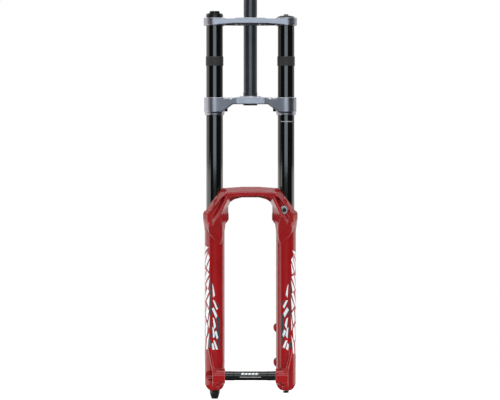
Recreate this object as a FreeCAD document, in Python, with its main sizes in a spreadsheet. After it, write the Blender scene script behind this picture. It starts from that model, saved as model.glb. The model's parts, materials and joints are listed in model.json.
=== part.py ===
"""Dual-crown bicycle suspension fork with 200 mm of travel, as separate sub-parts.

Frame: the origin is on the steerer's axis at the crown race seat. +Z runs up the steerer,
-Y points forward (the way the bicycle rides) and +X is the rider's left, the brake side.
All lengths are in millimetres. The damper is in the -X leg and the air spring in the +X leg.
"""
import FreeCAD, Part
import os
import re

import Sketcher

Vector = FreeCAD.Vector
Rotation = FreeCAD.Rotation

# Driving dimensions. Heights are along the steerer from the crown race seat.
DIMENSIONS = {
    # layout
    "leg_x": 76.0,
    "crown_offset": 26.0,
    "axle_offset": 46.0,
    "axle_z": -595.0,
    "hub_half": 55.0,
    # steerer
    "steerer_radius": 14.3,
    "steerer_bore": 11.9,
    "steerer_top": 255.0,
    "steerer_low": -17.5,
    "press_radius": 15.2,
    "plug_radius": 12.4,
    "plug_depth": 12.0,
    "race_radius": 15.0,
    "race_top": 8.0,
    "cut_mark": 168.8,
    "mark_width": 3.0,
    # crowns
    "lower_top": -3.0,
    "lower_bottom": -34.6,
    "lower_ring": -41.0,
    "lower_clamp": 22.0,
    "ring_radius": 20.4,
    "upper_top": 166.0,
    "upper_bottom": 149.4,
    "upper_clamp": 23.0,
    "stem_x": 25.0,
    "stem_y": 12.5,
    "stem_centre": -25.0,
    "pinch_radius": 3.0,
    "pinch_head": 5.0,
    "pinch_y": 0.5,
    "back_pinch_x": 10.8,
    "back_pinch_y": 18.8,
    "lower_seat": 21.5,
    "upper_seat": 14.8,
    "slit": 2.0,
    # stanchions
    "stanchion_radius": 17.5,
    "stanchion_bore": 15.5,
    "stanchion_top": 163.0,
    "stanchion_low": -358.0,
    "bumper_low": 64.0,
    "bumper_high": 84.0,
    "bumper_radius": 18.7,
    # lower legs
    "leg_radius": 21.0,
    "leg_bore": 18.5,
    "leg_top": -248.0,
    "leg_low": -627.0,
    "housing_radius": 24.6,
    "seal_bore": 20.6,
    "seal_floor": -264.0,
    "seal_low": -256.3,
    "lip_top": -242.5,
    "cavity_low": -564.0,
    "foot_bore": 8.0,
    "foot_floor": -616.5,
    "foot_hole": 4.3,
    "dropout_outer": 97.0,
    "axle_radius": 10.0,
    "axle_head": 80.4,
    "head_length": 2.4,
    "head_radius": 10.6,
    "lug_radius": 15.6,
    "lug_inner": 53.5,
    "seat_radius": 12.6,
    "post_x": 58.0,
    "post_high": -495.0,
    "post_pitch": 74.2,
    "post_face": 12.0,
    "post_radius": 8.7,
    "post_hole": 2.6,
    # arch
    "arch_rear": -51.5,
    "arch_front": -76.0,
    "arch_top": -192.2,
    "arch_under": -215.5,
    "guide_x": 72.0,
    "guide_z": -241.5,
    "guide_thread": 2.5,
    # radial clearance of every piece that slides or turns in another
    "running": 0.05,
    # damper and air spring
    "cartridge_radius": 13.5,
    "cartridge_bore": 12.5,
    "cartridge_top": 138.0,
    "head_top": -338.0,
    "head_low": -354.2,
    "damper_rod": 5.0,
    "air_rod": 6.0,
    "needle_radius": 2.0,
    "bolt_radius": 4.0,
    "piston_low": -332.0,
    "piston_high": -318.0,
    "washer_low": -628.4,
    "knob_top": -627.4,
    "knob_low": -645.0,
    # top adjusters
    "cap_top": 166.6,
    "stub_radius": 6.0,
    "fast_low": 167.2,
    "fast_high": 175.2,
    "fast_radius": 18.0,
    "slow_low": 175.5,
    "slow_high": 180.2,
    "slow_radius": 11.0,
    "dome_radius": 18.8,
    "valve_recess": 5.4,
    "valve_radius": 3.85,
}

SIDES = {"damper_side": "-1", "air_side": "1"}
LUG_END = "80.6"
LOWER_LEVELS = ("-10.5", "-28")
UPPER_LEVEL = "157.7"
BACK_LEVEL = "159.6"
ALIAS = re.compile(r"[a-z][a-z_]*")

doc = FreeCAD.newDocument("fork")
sheet = doc.addObject("Spreadsheet::Sheet", "Dims")
parts = []


# ---------------------------------------------------------------- helpers

def fill_sheet():
    """Write every driving dimension into the spreadsheet under its alias."""
    for row, (alias, number) in enumerate(DIMENSIONS.items(), start=1):
        sheet.set(f"A{row}", alias)
        sheet.set(f"B{row}", str(number))
        sheet.setAlias(f"B{row}", alias)
    doc.recompute()


def linked(expression):
    """An expression with each alias pointed at the spreadsheet."""
    def point(match):
        word = match.group()
        return f"Dims.{word}" if word in DIMENSIONS else word
    return ALIAS.sub(point, str(expression))


def bind(thing, name, expression):
    thing.setExpression(name, linked(expression))


def value(expression):
    return float(sheet.evalExpression(str(expression)))


def place(thing, x="0", y="0", z="0", rotation=None):
    """Put a piece where three expressions say."""
    turned_by = rotation if rotation else Rotation()
    thing.Placement = FreeCAD.Placement(Vector(value(x), value(y), value(z)), turned_by)
    for axis, expression in zip("xyz", (x, y, z)):
        bind(thing, f"Placement.Base.{axis}", expression)
    return thing


def keep(thing, label):
    """Name a finished sub-part and put it on the list of parts to write."""
    thing.Label = label
    parts.append(thing)
    return thing


def draw_outline(sketch, points):
    """A closed outline of straight sides whose corners are tied to the spreadsheet."""
    corners = [Vector(value(across), value(up), 0) for across, up in points]
    count = len(corners)
    for index, corner in enumerate(corners):
        side = Part.LineSegment(corner, corners[(index + 1) % count])
        sketch.addGeometry(side, False)
    for index in range(count):
        joined = Sketcher.Constraint("Coincident", index, 2, (index + 1) % count, 1)
        sketch.addConstraint(joined)
    for index, (across, up) in enumerate(points):
        for kind, expression in (("DistanceX", across), ("DistanceY", up)):
            size = value(expression)
            number = sketch.addConstraint(Sketcher.Constraint(kind, -1, 1, index, 1, size))
            bind(sketch, f"Constraints[{number}]", expression)


def turned(label, profile, x="0", y="0", z="0", along="Z"):
    """A lathe-turned piece: a (radius, height) profile revolved about its own axis."""
    body = doc.addObject("PartDesign::Body", f"{label}_body")
    sketch = body.newObject("Sketcher::SketchObject", f"{label}_profile")
    plane = [item for item in body.Origin.OriginFeatures if item.Role == "XZ_Plane"][0]
    sketch.AttachmentSupport = (plane, [""])
    sketch.MapMode = "FlatFace"
    draw_outline(sketch, profile)
    spin = body.newObject("PartDesign::Revolution", f"{label}_turn")
    spin.Profile = sketch
    spin.ReferenceAxis = (sketch, ["V_Axis"])
    spin.Angle = 360
    turns = {"Z": Rotation(), "X": Rotation(Vector(0, 1, 0), 90)}
    place(body, x, y, z, turns[along])
    return body


def rod(name, radius, start, length, along="Z"):
    """A round bar from start, three expressions, along one axis."""
    bar = doc.addObject("Part::Cylinder", name)
    bind(bar, "Radius", radius)
    bind(bar, "Height", length)
    turns = {
        "Z": Rotation(),
        "X": Rotation(Vector(0, 1, 0), 90),
        "Y": Rotation(Vector(1, 0, 0), -90),
    }
    place(bar, *start, rotation=turns[along])
    return bar


def block(name, low, high):
    """A box between two corners, each three expressions."""
    brick = doc.addObject("Part::Box", name)
    for prop, start, end in zip(("Length", "Width", "Height"), low, high):
        bind(brick, prop, f"({end}) - ({start})")
    place(brick, *low)
    return brick


PLANES = {
    "XY": (Rotation(), Vector(0, 0, 1), 2),
    "XZ": (Rotation(Vector(1, 0, 0), 90), Vector(0, 1, 0), 1),
    "YZ": (Rotation(Vector(1, 1, 1), 120), Vector(1, 0, 0), 0),
}


def outline(name, plane, points, level="0"):
    """A sketch on one plane, at a level along that plane's normal."""
    rotation, _, axis = PLANES[plane]
    sketch = doc.addObject("Sketcher::SketchObject", name)
    draw_outline(sketch, points)
    spot = ["0", "0", "0"]
    spot[axis] = level
    place(sketch, *spot, rotation=rotation)
    return sketch


def prism(name, plane, points, low, high):
    """An outline on one plane, extruded from low to high along its normal."""
    sketch = outline(f"{name}_outline", plane, points, low)
    solid = doc.addObject("Part::Extrusion", name)
    solid.Base = sketch
    solid.DirMode = "Custom"
    solid.Dir = PLANES[plane][1]
    solid.Solid = True
    bind(solid, "LengthFwd", f"({high}) - ({low})")
    return solid


def tapered(name, first, near, second, far):
    """A straight-sided loft between two outlines on XZ planes at two depths."""
    sections = [
        outline(f"{name}_first", "XZ", first, near),
        outline(f"{name}_second", "XZ", second, far),
    ]
    solid = doc.addObject("Part::Loft", name)
    solid.Sections = sections
    solid.Solid = True
    solid.Ruled = True
    return solid


def rounded(solid, direction, radius, wanted):
    """Round the straight edges along direction whose middles wanted() accepts."""
    doc.recompute()
    edges = []
    for number, edge in enumerate(solid.Shape.Edges, start=1):
        if not isinstance(edge.Curve, Part.Line):
            continue
        run = edge.Curve.Direction
        if abs(run.dot(direction)) > 0.999 and wanted(edge.CenterOfMass):
            edges.append((number, radius, radius))
    result = doc.addObject("Part::Fillet", f"{solid.Name}_rounded")
    result.Base = solid
    result.Edges = edges
    return result


def fused(name, *solids):
    result = doc.addObject("Part::MultiFuse", name)
    result.Shapes = list(solids)
    result.Refine = True
    return result


def common(name, *solids):
    result = doc.addObject("Part::MultiCommon", name)
    result.Shapes = list(solids)
    return result


def carved(name, base, *tools):
    """The base with every tool taken out of it."""
    result = doc.addObject("Part::Cut", name)
    result.Base = base
    result.Tool = tools[0] if len(tools) == 1 else fused(f"{name}_tools", *tools)
    return result


def grouped(name, *solids):
    """Separate solids that share one node."""
    result = doc.addObject("Part::Compound", name)
    result.Links = list(solids)
    return result


def ring(label, inner, outer, low, high, x="0", y="0"):
    return turned(label, [(inner, low), (outer, low), (outer, high), (inner, high)], x, y)


def mirrored(points):
    """A left half of an outline, from top to bottom, closed by its mirror image."""
    other = [(f"-({across})", up) for across, up in reversed(points)]
    return points + other


# ---------------------------------------------------------------- steerer and crowns

def make_steerer():
    tube = turned("steerer_tube", [
        ("plug_radius", "steerer_low"),
        ("press_radius", "steerer_low"),
        ("press_radius", "0"),
        ("race_radius", "0"),
        ("race_radius", "race_top - 0.6"),
        ("race_radius - 0.6", "race_top"),
        ("steerer_radius", "race_top"),
        ("steerer_radius", "cut_mark"),
        ("steerer_radius - 0.5", "cut_mark"),
        ("steerer_radius - 0.5", "cut_mark + mark_width"),
        ("steerer_radius", "cut_mark + mark_width"),
        ("steerer_radius", "steerer_top - 0.8"),
        ("steerer_radius - 0.8", "steerer_top"),
        ("steerer_bore", "steerer_top"),
        ("steerer_bore", "steerer_low + plug_depth"),
        ("plug_radius", "steerer_low + plug_depth"),
    ])
    keep(tube, "steerer_tube")
    plug = turned("steerer_plug", [
        ("0", "steerer_low + plug_depth"),
        ("plug_radius - 0.6", "steerer_low + plug_depth"),
        ("plug_radius", "steerer_low + plug_depth - 1"),
        ("plug_radius", "steerer_low"),
        ("press_radius", "steerer_low"),
        ("press_radius", "steerer_low - 1.8"),
        ("race_radius - 0.8", "steerer_low - 2.6"),
        ("4", "steerer_low - 2.6"),
        ("4", "steerer_low + 6"),
        ("0", "steerer_low + 6"),
    ])
    keep(plug, "steerer_plug")


def clamp_ears(name, side, low, high, reach, inner, outer):
    """The two ears behind a stanchion clamp, as one block that the slit divides."""
    edges = sorted((f"{side} * (leg_x - {inner})", f"{side} * (leg_x + {outer})"), key=value)
    start = (edges[0], "-crown_offset + 10", low)
    end = (edges[1], reach, high)
    return rounded(block(name, start, end), Vector(0, 0, 1), 5.0, lambda at: at.y > -5)


def make_lower_crown():
    plan = prism("lower_plan", "XY", mirrored([
        ("20", "19"),
        ("50", "-6"),
        ("leg_x", "-6"),
        ("leg_x", "-crown_offset - lower_clamp"),
        ("70", "-crown_offset - lower_clamp + 0.8"),
        ("29", "-37.2"),
    ]), "lower_bottom - 1", "6")
    front = prism("lower_front", "XZ", mirrored([
        ("25", "lower_top + 1"),
        ("32", "lower_top"),
        ("100", "lower_top"),
        ("100", "lower_bottom"),
        ("60.4", "lower_bottom"),
        ("37", "steerer_low"),
    ]), "-60", "40")
    webs = common("lower_webs", plan, front)
    hub = rod("lower_hub", "22", ("0", "0", "steerer_low"), "-steerer_low")
    pieces = [webs, hub]
    tools = [rod("lower_bore", "press_radius", ("0", "0", "-40"), "60")]
    for name, side in SIDES.items():
        x = f"{side} * leg_x"
        centre = (x, "-crown_offset", "lower_bottom")
        pieces.append(rod(f"lower_clamp_{name}", "lower_clamp", centre, "lower_top - lower_bottom"))
        collar = (x, "-crown_offset", "lower_ring")
        pieces.append(rod(f"lower_collar_{name}", "ring_radius", collar, "lower_bottom - lower_ring"))
        ears = clamp_ears(f"lower_ears_{name}", side, "lower_bottom", "lower_top", "9", "lower_seat + 1", 15)
        pieces.append(ears)
        bore = (x, "-crown_offset", "-60")
        tools.append(rod(f"lower_leg_bore_{name}", "stanchion_radius", bore, "80"))
        tools.append(block(
            f"lower_slit_{name}",
            (f"{x} - slit / 2", "-crown_offset + 5", "-60"),
            (f"{x} + slit / 2", "30", "20"),
        ))
        for level in LOWER_LEVELS:
            tools += pinch_holes(f"lower_{name}_{level[1:]}", side, level, "lower_seat")
        tools.append(scoop(name, side))
        tools.append(lightening(name, side))
    crown = carved("lower_crown_shape", fused("lower_blank", *pieces), *tools)
    keep(crown, "lower_crown")


def scoop(name, side):
    """The shallow dip in the front edge of a lower crown arm."""
    points = [
        (f"{side} * 27", "-1"),
        (f"{side} * 60", "-1"),
        (f"{side} * 58", "-5"),
        (f"{side} * 44", "-6.5"),
        (f"{side} * 31", "-5"),
    ]
    return prism(f"scoop_{name}", "XZ", points, "-60", "-38.5")


def lightening(name, side):
    """The pocket in the top of a lower crown arm, between the clamp and the steerer."""
    points = [
        (f"{side} * 27", "-10"),
        (f"{side} * 30", "-34"),
        (f"{side} * 49", "-37"),
        (f"{side} * 50", "-12"),
        (f"{side} * 36", "0"),
    ]
    return prism(f"pocket_{name}", "XY", points, "-11", "10")


def pinch_holes(name, side, level, head_seat):
    """Cutters for one clamp's pinch bolt: a through hole along X and a flat seat for its head."""
    hole = rod(f"hole_{name}", "pinch_radius", (f"{side} * leg_x - 30", "pinch_y", level), "60", "X")
    start = f"leg_x - {head_seat} - 14" if side == "1" else f"-leg_x + {head_seat}"
    return [hole, rod(f"seat_{name}", "pinch_head + 0.6", (start, "pinch_y", level), "14", "X")]


def pinch_bolt(name, x, y, z, reach, facing):
    """A socket-head screw along X whose head faces one way."""
    bolt = turned(name, [
        ("0", f"-{reach}"),
        ("pinch_radius", f"-{reach}"),
        ("pinch_radius", "0"),
        ("pinch_head", "0"),
        ("pinch_head", "5.4"),
        ("pinch_head - 0.6", "6"),
        ("0", "6"),
    ])
    corners = [(f"2.9 * cos({60 * step})", f"2.9 * sin({60 * step})") for step in range(6)]
    socket = prism(f"{name}_socket", "XY", corners, "3", "8")
    screw = carved(f"{name}_screw", bolt, socket)
    angle = 90 if facing > 0 else -90
    return place(screw, x, y, z, Rotation(Vector(0, 1, 0), angle))


def make_pinch_bolts():
    lower = []
    upper = []
    for name, side in SIDES.items():
        facing = 1 if side == "-1" else -1
        for level in LOWER_LEVELS:
            x = f"{side} * (leg_x - lower_seat)"
            lower.append(pinch_bolt(f"lower_screw_{name}_{level[1:]}", x, "pinch_y", level, 34, facing))
        x = f"{side} * (leg_x - upper_seat)"
        upper.append(pinch_bolt(f"upper_screw_{name}", x, "pinch_y", UPPER_LEVEL, 27, facing))
    upper.append(pinch_bolt("upper_screw_steerer", "back_pinch_x", "back_pinch_y", BACK_LEVEL, 21, 1))
    keep(grouped("lower_screws", *lower), "lower_crown_pinch_bolts")
    keep(grouped("upper_screws", *upper), "upper_crown_pinch_bolts")


def make_upper_crown():
    plan = prism("upper_plan", "XY", mirrored([
        ("20", "16"),
        ("50", "-5"),
        ("leg_x", "-5"),
        ("leg_x", "-crown_offset - upper_clamp"),
    ]), "145", "172")
    front = prism("upper_front", "XZ", mirrored([
        ("23", "upper_top"),
        ("38", "upper_top - 2"),
        ("54", "upper_top - 2"),
        ("62", "upper_top - 0.4"),
        ("102", "upper_top - 0.4"),
        ("102", "upper_bottom"),
        ("64", "upper_bottom + 1.6"),
        ("32", "upper_bottom + 4.2"),
    ]), "-60", "40")
    webs = common("upper_webs", plan, front)
    rear_web = prism("upper_rear_web", "XY", mirrored([
        ("26", "2"),
        ("57", "-8"),
        ("57", "-20"),
        ("26", "-20"),
    ]), "upper_bottom + 0.8", "160")
    hub = rod("upper_hub", "21.3", ("0", "0", "upper_bottom + 6.4"), "upper_top - upper_bottom - 6.4")
    back = block("upper_back", ("-16", "10", "upper_bottom + 4"), ("16", "25", "upper_top"))
    back = rounded(back, Vector(0, 0, 1), 5.0, lambda at: at.y > 20)
    pieces = [webs, rear_web, hub, back]
    tools = [
        rod("upper_bore", "steerer_radius", ("0", "0", "140"), "40"),
        block("upper_slit", ("-slit / 2", "5", "140"), ("slit / 2", "40", "180")),
        rod("upper_hole", "pinch_radius", ("-30", "back_pinch_y", BACK_LEVEL), "60", "X"),
        rod("upper_seat_cut", "pinch_head + 0.6", ("back_pinch_x", "back_pinch_y", BACK_LEVEL), "14", "X"),
    ]
    for name, side in SIDES.items():
        x = f"{side} * leg_x"
        centre = (x, "-crown_offset", "upper_bottom")
        pieces.append(rod(f"upper_clamp_{name}", "upper_clamp", centre, "upper_top - upper_bottom"))
        ears = clamp_ears(f"upper_ears_{name}", side, "upper_bottom", "upper_top", "8", 20, 15)
        pieces.append(ears)
        bore = (x, "-crown_offset", "140")
        tools.append(rod(f"upper_leg_bore_{name}", "stanchion_radius", bore, "40"))
        tools.append(block(
            f"upper_slit_{name}",
            (f"{x} - slit / 2", "-crown_offset + 5", "140"),
            (f"{x} + slit / 2", "30", "180"),
        ))
        tools += pinch_holes(f"upper_{name}", side, UPPER_LEVEL, "upper_seat")
        for row in ("-1", "1"):
            spot = (f"{side} * stem_x", f"stem_centre + {row} * stem_y")
            boss = (*spot, "upper_bottom + 0.6")
            pieces.append(rod(f"boss_{name}_{row}", "6.5", boss, "upper_top - upper_bottom - 0.6"))
            tools.append(rod(f"stem_hole_{name}_{row}", "pinch_radius", (*spot, "140"), "40"))
    crown = carved("upper_crown_shape", fused("upper_blank", *pieces), *tools)
    keep(crown, "upper_crown")


# ---------------------------------------------------------------- stanchions

def make_stanchions():
    profile = [
        ("stanchion_bore", "stanchion_low"),
        ("stanchion_radius - 1", "stanchion_low"),
        ("stanchion_radius", "stanchion_low + 1"),
        ("stanchion_radius", "stanchion_top"),
        ("stanchion_bore", "stanchion_top"),
        ("stanchion_bore", "head_low"),
        ("stanchion_bore + 0.8", "head_low"),
        ("stanchion_bore + 0.8", "head_low - 1.4"),
        ("stanchion_bore", "head_low - 1.4"),
    ]
    rings = []
    for name, side in SIDES.items():
        spot = (f"{side} * leg_x", "-crown_offset")
        keep(turned(f"stanchion_{name}", profile, *spot), f"stanchion_{name}")
        snap = ring(f"snap_{name}", "13.4", "stanchion_bore + 0.8", "head_low - 1.4", "head_low", *spot)
        rings.append(snap)
        guard = turned(f"guard_{name}", [
            ("stanchion_radius", "bumper_low"),
            ("bumper_radius - 0.5", "bumper_low"),
            ("bumper_radius", "bumper_low + 0.8"),
            ("bumper_radius", "bumper_high - 0.8"),
            ("bumper_radius - 0.5", "bumper_high"),
            ("stanchion_radius", "bumper_high"),
        ], *spot)
        keep(guard, f"frame_bumper_{name}")
    keep(grouped("snaps", *rings), "snap_rings")


# ---------------------------------------------------------------- damper

def make_top_cap(spot):
    cap = turned("damper_cap", [
        ("needle_radius + running", "cartridge_top"),
        ("stanchion_bore", "cartridge_top"),
        ("stanchion_bore", "stanchion_top"),
        ("stanchion_radius", "stanchion_top"),
        ("stanchion_radius", "cap_top - 0.5"),
        ("stanchion_radius - 0.5", "cap_top"),
        ("stub_radius", "cap_top"),
        ("stub_radius", "fast_high - 2.5"),
        ("needle_radius + running", "fast_high - 2.5"),
    ], *spot)
    keep(cap, "damper_top_cap")


def scalloped(name, blank, spot, count, radius, centre_radius, low, high, start=0):
    """A turned blank with a ring of round flutes cut down its edge."""
    flutes = []
    for step in range(count):
        angle = start + 360 * step / count
        x = f"{spot[0]} + {centre_radius} * cos({angle})"
        y = f"{spot[1]} + {centre_radius} * sin({angle})"
        flutes.append(rod(f"{name}_flute_{step}", radius, (x, y, low), f"({high}) - ({low})"))
    return carved(name, blank, *flutes)


def make_compression_knobs(spot):
    fast = turned("fast_blank", [
        ("stub_radius + running", "fast_low"),
        ("fast_radius - 0.8", "fast_low"),
        ("fast_radius", "fast_low + 0.8"),
        ("fast_radius", "fast_high - 2.2"),
        ("fast_radius - 2.2", "fast_high"),
        ("stub_radius + running", "fast_high"),
    ], *spot)
    knob = scalloped("fast_knob", fast, spot, 8, "3.2", 19.4, "fast_low + 2.4", "190")
    keep(knob, "high_speed_knob")
    slow = turned("slow_blank", [
        ("0", "slow_low"),
        ("slow_radius - 0.5", "slow_low"),
        ("slow_radius", "slow_low + 0.5"),
        ("slow_radius", "slow_high - 1.2"),
        ("slow_radius - 1.2", "slow_high"),
        ("3.6", "slow_high"),
        ("3.6", "slow_high - 1"),
        ("0", "slow_high - 1"),
    ], *spot)
    knob = scalloped("slow_knob", slow, spot, 6, "2.4", 12.2, "slow_low - 1", "190", 30)
    keep(knob, "low_speed_knob")
    needle = turned("slow_needle", [
        ("0", "70"),
        ("needle_radius", "73"),
        ("needle_radius", "slow_low"),
        ("0", "slow_low"),
    ], *spot)
    keep(needle, "low_speed_rod")


def make_damper(spot):
    tube = ring("cartridge", "cartridge_bore", "cartridge_radius", "head_top", "cartridge_top", *spot)
    keep(tube, "damper_cartridge_tube")
    valve = turned("valve", [
        ("0", "48"),
        ("3", "48"),
        ("3", "60"),
        ("cartridge_bore - 1.5", "60"),
        ("cartridge_bore", "61.5"),
        ("cartridge_bore", "70"),
        ("4", "70"),
        ("4", "cartridge_top"),
        ("needle_radius + running", "cartridge_top"),
        ("needle_radius + running", "69"),
        ("0", "66"),
    ], *spot)
    keep(valve, "compression_valve")
    shims = []
    for step, outer in enumerate(("11", "9.4", "7.8", "6.2")):
        high = f"60 - {0.8 * step:.1f}"
        shims.append(ring(f"shim_{step}", "3", outer, f"{high} - 0.8", high, *spot))
    keep(grouped("shims", *shims), "compression_shims")
    bladder = turned("bladder", [
        ("4", "74"),
        ("9.5", "74"),
        ("11.6", "78"),
        ("11.2", "104"),
        ("11.6", "130"),
        ("9.5", "134"),
        ("4", "134"),
        ("4", "133"),
        ("9", "133"),
        ("10.6", "129.6"),
        ("10.2", "104"),
        ("10.6", "78.4"),
        ("9", "75"),
        ("4", "75"),
    ], *spot)
    keep(bladder, "damper_bladder")
    make_seal_head("damper", "damper_rod", spot)
    shaft = turned("rebound_shaft", [
        ("needle_radius + running", "foot_floor + 20"),
        ("bolt_radius", "foot_floor + 20"),
        ("bolt_radius", "foot_floor"),
        ("damper_rod", "foot_floor"),
        ("damper_rod", "piston_low"),
        ("3.5", "piston_low"),
        ("3.5", "piston_high + 5"),
        ("needle_radius + running", "piston_high + 5"),
    ], *spot)
    keep(shaft, "damper_shaft")
    piston = turned("rebound_piston_shape", [
        ("3.5", "piston_low"),
        ("12.2", "piston_low"),
        ("12.2", "piston_low + 4"),
        ("11.4", "piston_low + 4"),
        ("11.4", "piston_high - 4"),
        ("12.2", "piston_high - 4"),
        ("12.2", "piston_high"),
        ("3.5", "piston_high"),
    ], *spot)
    keep(piston, "rebound_piston")
    band = ("11.4", "cartridge_bore - running", "piston_low + 4", "piston_high - 4")
    keep(ring("glide", *band, *spot), "rebound_glide_ring")
    stop = ring("damper_stop", "damper_rod", "9", "head_top + 0.5", "piston_low", *spot)
    keep(stop, "damper_top_out_bumper")


def make_seal_head(name, shaft, spot):
    """The plug at a stanchion's lower end that a shaft runs through, and its seal."""
    head = turned(f"{name}_head", [
        (f"{shaft} + running", "head_low"),
        ("stanchion_bore", "head_low"),
        ("stanchion_bore", "head_top"),
        (f"{shaft} + running", "head_top"),
        (f"{shaft} + running", "head_low + 9"),
        (f"{shaft} + 3", "head_low + 9"),
        (f"{shaft} + 3", "head_low + 5"),
        (f"{shaft} + running", "head_low + 5"),
    ], *spot)
    keep(head, f"{name}_seal_head")
    lip = (f"{shaft} + running", f"{shaft} + 3", "head_low + 5", "head_low + 9")
    keep(ring(f"{name}_lip", *lip, *spot), f"{name}_shaft_seal")


def make_rebound_adjuster(spot):
    blank = turned("rebound_blank", [
        ("0", "knob_low"),
        ("6.2", "knob_low"),
        ("7.4", "knob_low + 1.2"),
        ("10.4", "knob_top - 7"),
        ("11", "knob_top - 5"),
        ("11", "knob_top - 0.6"),
        ("10.4", "knob_top"),
        ("8.6", "knob_top"),
        ("8.6", "knob_top - 6.8"),
        ("0", "knob_top - 6.8"),
    ], *spot)
    knob = scalloped("rebound_grip", blank, spot, 10, "1.7", 11.6, "knob_low - 1", "knob_top - 5.5")
    keep(knob, "rebound_knob")
    needle = turned("rebound_needle", [
        ("0", "knob_top - 6.8"),
        ("needle_radius", "knob_top - 6.8"),
        ("needle_radius", "piston_low - 3"),
        ("0", "piston_low"),
    ], *spot)
    keep(needle, "rebound_rod")
    bolt = turned("damper_foot", [
        ("needle_radius + running", "foot_floor + 19"),
        ("bolt_radius", "foot_floor + 19"),
        ("bolt_radius", "washer_low"),
        ("7", "washer_low"),
        ("7", "washer_low - 4.6"),
        ("6.4", "washer_low - 5.2"),
        ("needle_radius + running", "washer_low - 5.2"),
    ], *spot)
    keep(bolt, "damper_foot_bolt")


# ---------------------------------------------------------------- air spring

def make_air_spring(spot):
    cap = turned("air_cap", [
        ("valve_radius - 1.2", "cartridge_top"),
        ("stanchion_bore", "cartridge_top"),
        ("stanchion_bore", "stanchion_top"),
        ("stanchion_radius", "stanchion_top"),
        ("stanchion_radius", "upper_top + 0.3"),
        ("dome_radius", "upper_top + 0.3"),
        ("dome_radius", "upper_top + 1.5"),
        ("17", "upper_top + 2.8"),
        ("12", "upper_top + 4.4"),
        ("valve_recess", "upper_top + 5"),
        ("valve_recess", "156"),
        ("valve_radius", "156"),
        ("valve_radius", "upper_top"),
        ("valve_radius - 1.2", "upper_top"),
    ], *spot)
    keep(cap, "air_top_cap")
    core = turned("core", [
        ("0", "146"),
        ("1.6", "146"),
        ("valve_radius - 1.2", "149"),
        ("valve_radius - 1.2", "162"),
        ("0.8", "162"),
        ("0.8", "upper_top - 0.8"),
        ("0", "upper_top - 0.8"),
    ], *spot)
    keep(core, "air_valve_core")
    cover = turned("valve_cover", [
        ("0", "173.4"),
        ("4.2", "173.4"),
        ("5.1", "172.4"),
        ("5.1", "157.5"),
        ("valve_radius + running", "157.5"),
        ("valve_radius + running", "upper_top + 0.4"),
        ("0", "upper_top + 0.4"),
    ], *spot)
    keep(cover, "valve_cap")
    tokens = []
    for step in range(2):
        high = f"cartridge_top - {10 * step}"
        token = turned(f"token_{step}", [
            ("valve_radius - 1.2", f"{high} - 10"),
            ("12.5", f"{high} - 10"),
            ("14", f"{high} - 8"),
            ("14", high),
            ("valve_radius - 1.2", high),
        ], *spot)
        tokens.append(token)
    keep(grouped("tokens", *tokens), "volume_spacers")
    make_seal_head("air", "air_rod", spot)
    shaft = turned("air_rod_shape", [
        ("0", "foot_floor + 22"),
        ("bolt_radius", "foot_floor + 20"),
        ("bolt_radius", "foot_floor"),
        ("air_rod", "foot_floor"),
        ("air_rod", "piston_low"),
        ("4", "piston_low"),
        ("4", "piston_high + 6"),
        ("0", "piston_high + 6"),
    ], *spot)
    keep(shaft, "air_shaft")
    piston = turned("air_piston_shape", [
        ("4", "piston_low"),
        ("15", "piston_low"),
        ("15", "piston_low + 4"),
        ("12.5", "piston_low + 4"),
        ("12.5", "piston_high - 4"),
        ("15", "piston_high - 4"),
        ("15", "piston_high"),
        ("4", "piston_high"),
    ], *spot)
    keep(piston, "air_piston")
    band = ("12.5", "stanchion_bore - running", "piston_low + 4", "piston_high - 4")
    keep(ring("air_lip", *band, *spot), "air_piston_seal")
    keep(ring("air_stop", "air_rod", "11", "head_top + 0.5", "piston_low", *spot), "air_top_out_bumper")
    keep(ring("bottom_stop", "air_rod", "10", "-571", "-558.5", *spot), "bottom_out_bumper")
    bolt = turned("air_foot", [
        ("0", "foot_floor + 18"),
        ("bolt_radius", "foot_floor + 18"),
        ("bolt_radius", "washer_low"),
        ("6.15", "washer_low"),
        ("6.15", "washer_low - 3.8"),
        ("5.4", "washer_low - 4.6"),
        ("0", "washer_low - 4.6"),
    ], *spot)
    corners = [
        (f"{spot[0]} + 2.9 * cos({60 * step})", f"{spot[1]} + 2.9 * sin({60 * step})")
        for step in range(6)
    ]
    socket = prism("air_foot_socket", "XY", corners, "washer_low - 6", "washer_low - 1")
    keep(carved("air_foot_screw", bolt, socket), "air_foot_bolt")


def make_piston_nuts(spots):
    nuts = []
    for (x, y), bore, tall in zip(spots, ("3.5", "4"), ("5", "6")):
        corners = [
            (f"{x} + 6.6 * cos({60 * step})", f"{y} + 6.6 * sin({60 * step})")
            for step in range(6)
        ]
        body = prism(f"nut_{bore[0]}_hex", "XY", corners, "piston_high", f"piston_high + {tall}")
        hole = rod(f"nut_{bore[0]}_hole", bore, (x, y, "piston_high - 2"), "12")
        nuts.append(carved(f"nut_{bore[0]}", body, hole))
    keep(grouped("nuts", *nuts), "piston_nuts")


# ---------------------------------------------------------------- seals and bushings

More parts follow.
